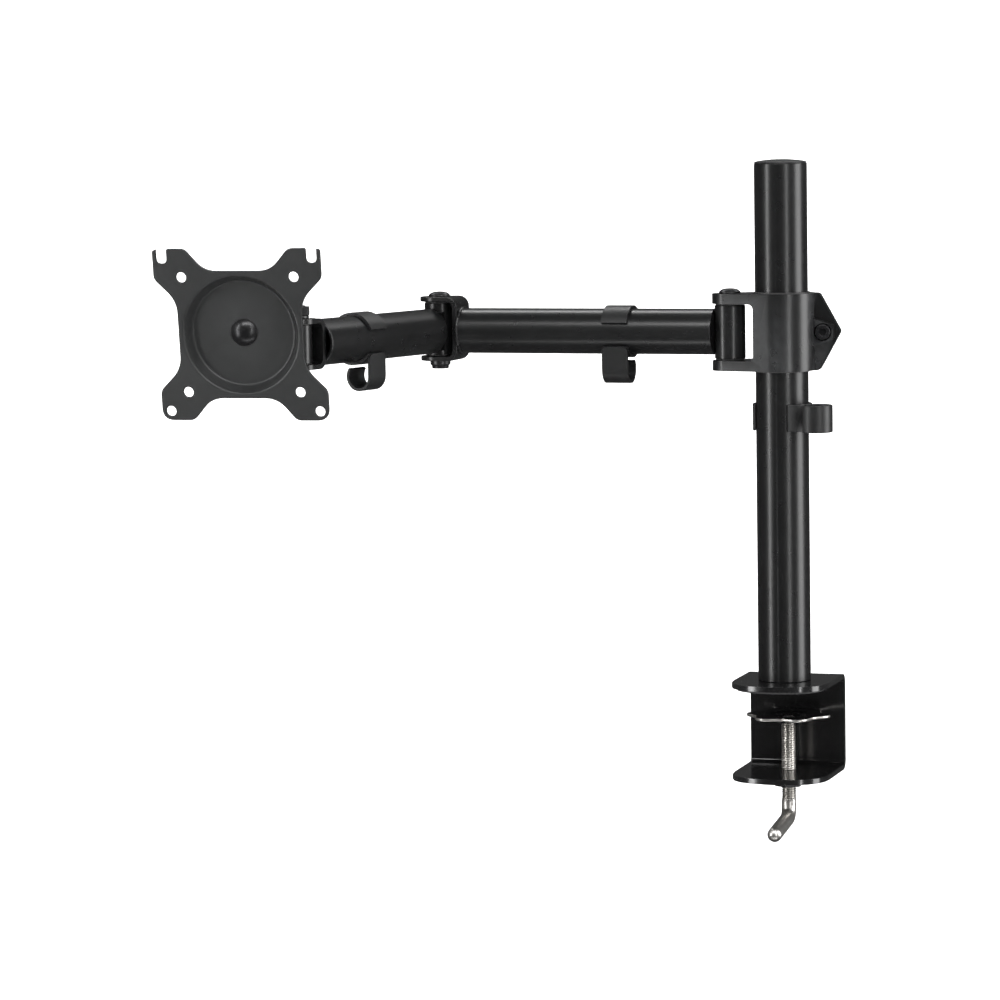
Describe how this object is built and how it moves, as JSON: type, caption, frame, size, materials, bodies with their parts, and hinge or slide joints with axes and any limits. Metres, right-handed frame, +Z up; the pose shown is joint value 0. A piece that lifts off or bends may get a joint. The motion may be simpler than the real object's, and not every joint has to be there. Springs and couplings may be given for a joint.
{
  "type": "monitor arm",
  "caption": "Desk-clamped monitor arm with a round pole, a height-sliding collar, jointed swing arms and a tilting, turning screen plate",
  "frame": {"origin": "on the pole's axis, on the underside of the desk pad, where the clamp rests on the desk top", "axes": "+Z up along the pole; -Y is the open side of the clamp, over the desk, where the user sits; +X to the user's right when facing the clamp from the front"},
  "size_m": [0.405, 0.2417, 0.4475],
  "materials": {
    "satin_black": "satin powder coat",
    "gloss_black": "gloss paint",
    "black_plastic": "fine moulded grain",
    "nylon": "smooth",
    "foam": "closed-cell foam",
    "dark_steel": "black zinc plate",
    "bright_steel": "bright zinc plate"
  },
  "bodies": {
    "base": {"clamp_bracket": "gloss_black", "desk_pad": "foam", "clamp_nut": "dark_steel", "pole_tube": "satin_black", "pole_foot": "satin_black", "pole_screw_1": "bright_steel", "pole_screw_2": "bright_steel", "pole_screw_3": "bright_steel", "pole_cap": "black_plastic", "pole_cable_clip": "black_plastic"},
    "press": {"pressure_plate": "gloss_black"},
    "jack": {"jack_screw": "bright_steel"},
    "carriage": {"collar_liner": "nylon"},
    "collar": {"collar": "satin_black", "collar_clamp_screw": "dark_steel", "collar_clamp_nut": "dark_steel", "arm1_pivot_bolt": "dark_steel", "arm1_pivot_nut": "dark_steel"},
    "arm1": {"arm1_barrel": "satin_black", "arm1_bush_upper": "nylon", "arm1_bush_lower": "nylon", "arm1_tube": "satin_black", "arm1_cable_clip": "black_plastic", "elbow_bracket": "satin_black", "elbow_bolt": "dark_steel", "elbow_nut": "dark_steel"},
    "arm2": {"arm2_barrel": "satin_black", "arm2_bush_upper": "nylon", "arm2_bush_lower": "nylon", "arm2_tube": "satin_black", "arm2_cable_clip": "black_plastic", "head_fork": "satin_black", "pan_bolt": "dark_steel", "pan_nut_washer": "dark_steel", "pan_nut": "dark_steel"},
    "swivel": {"head_swivel": "satin_black", "pan_washer_upper": "nylon", "pan_washer_lower": "nylon"},
    "tilt": {"tilt_bracket": "satin_black", "tilt_washer_left": "nylon", "tilt_washer_right": "nylon", "tilt_bolt": "dark_steel", "tilt_nut": "dark_steel", "pivot_washer": "nylon", "pivot_rivet": "dark_steel"},
    "screen": {"screen_plate": "satin_black"}
  },
  "joints": [
    {"name": "clamp_press", "type": "slide", "parent": "base", "child": "press", "axis": [0, 0, 1], "range_m": [-0.028, 0.011]},
    {"name": "clamp_screw", "type": "hinge", "parent": "press", "child": "jack", "pos_m": [0, 0.0095, -0.0195], "axis": [0, 0, 1], "range_deg": [-6800, 2700]},
    {"name": "collar_height", "type": "slide", "parent": "base", "child": "carriage", "axis": [0, 0, 1], "range_m": [-0.02, 0.08]},
    {"name": "collar_turn", "type": "hinge", "parent": "carriage", "child": "collar", "pos_m": [0, 0, 0.2371], "axis": [0, 0, 1], "continuous": true},
    {"name": "arm1_swing", "type": "hinge", "parent": "collar", "child": "arm1", "pos_m": [-0.03401, -0.00448, 0.2371], "axis": [0, 0, 1], "range_deg": [-75, 94]},
    {"name": "elbow_swing", "type": "hinge", "parent": "arm1", "child": "arm2", "pos_m": [-0.23905, 0.0034, 0.2371], "axis": [0, 0, 1], "range_deg": [-166, 12]},
    {"name": "head_pan", "type": "hinge", "parent": "arm2", "child": "swivel", "pos_m": [-0.28317, -0.15248, 0.2371], "axis": [0, 0, 1], "range_deg": [-40, 80]},
    {"name": "head_tilt", "type": "hinge", "parent": "swivel", "child": "tilt", "pos_m": [-0.31056, -0.16648, 0.2487], "axis": [0.9981, 0.061, 0], "range_deg": [-40, 15]},
    {"name": "screen_turn", "type": "hinge", "parent": "tilt", "child": "screen", "pos_m": [-0.30903, -0.19158, 0.24516], "axis": [0.0605, -0.9884, -0.1392], "continuous": true}
  ],
  "couplings": [
    {"joint": "clamp_screw", "follows": "clamp_press", "rad_per_m": 4188.8}
  ]
}
